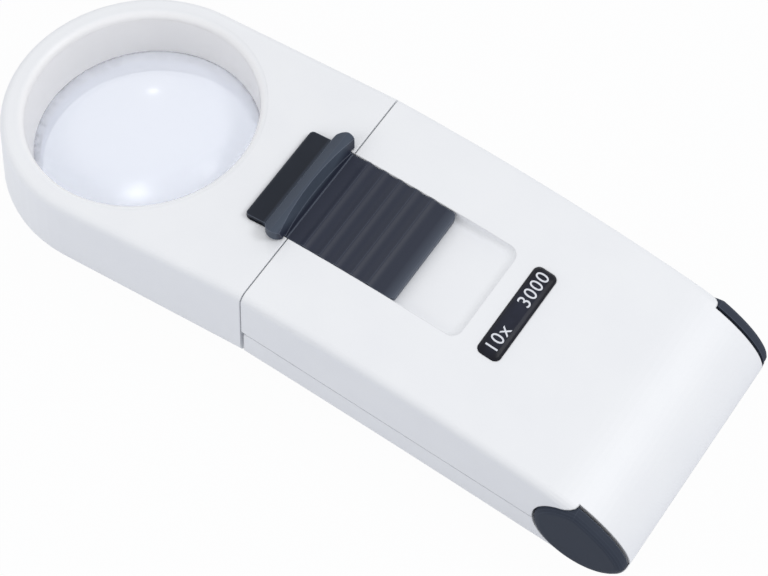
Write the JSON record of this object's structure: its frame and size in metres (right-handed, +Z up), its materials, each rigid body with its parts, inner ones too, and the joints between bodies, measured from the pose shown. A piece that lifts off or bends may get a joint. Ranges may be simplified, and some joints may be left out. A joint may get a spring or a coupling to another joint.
{
  "type": "illuminated pocket magnifier",
  "caption": "Flat arched pocket magnifier with a thick lens set deep in a round head, a thumb slider that switches the light, and a hinged battery door under the handle.",
  "frame": {"origin": "under the middle of the part, on the surface that it stands on", "axes": "+X from the round head to the tail, +Y to the left when looking from the head to the tail, +Z up"},
  "size_m": [0.1187, 0.043, 0.022],
  "materials": {
    "white_moulding": "fine satin",
    "dark_moulding": "fine matt",
    "optics": "polished clear acrylic",
    "window": "frosted clear acrylic",
    "strip": "glossy black",
    "board": "solder mask",
    "led_body": "phosphor in a white body",
    "contact": "nickel plated",
    "copper": "gold plated copper",
    "steel": "bright zinc",
    "battery_skin": "plain printed wrap"
  },
  "bodies": {
    "body": {"head_shell": "white_moulding", "handle_shell": "white_moulding", "lens": "optics", "lens_ring": "white_moulding", "light_window": "window", "led_board": "board", "led": "led_body", "led_leads": "copper", "circuit_board": "board", "contact_tracks": "copper", "board_screws": "steel", "head_screws": "steel", "rating_strip": "strip", "hinge_pin": "steel", "battery_1": "battery_skin", "battery_2": "battery_skin", "battery_3": "battery_skin", "front_contacts": "contact", "rear_contacts": "contact", "contact_springs": "contact", "button_spring_left": "steel", "button_spring_right": "steel"},
    "slider": {"slider": "dark_moulding", "slider_plate": "dark_moulding", "contact_bridge": "copper"},
    "door": {"battery_door": "white_moulding"},
    "left_button": {"release_button_left": "dark_moulding"},
    "right_button": {"release_button_right": "dark_moulding"}
  },
  "joints": [
    {"name": "slider_slide", "type": "slide", "parent": "body", "child": "slider", "axis": [1, 0, 0], "range_m": [0, 0.0094]},
    {"name": "door_hinge", "type": "hinge", "parent": "body", "child": "door", "pos_m": [-0.00382, 0, 0.00522], "axis": [0, 1, 0], "range_deg": [0, 80]},
    {"name": "left_button_press", "type": "slide", "parent": "body", "child": "left_button", "axis": [0, -1, 0], "range_m": [0, 0.00045], "stiffness_N_per_m": 1500, "springref_m": -0.001, "deforming": ["button_spring_left"]},
    {"name": "right_button_press", "type": "slide", "parent": "body", "child": "right_button", "axis": [0, 1, 0], "range_m": [0, 0.00045], "stiffness_N_per_m": 1500, "springref_m": -0.001, "deforming": ["button_spring_right"]}
  ]
}
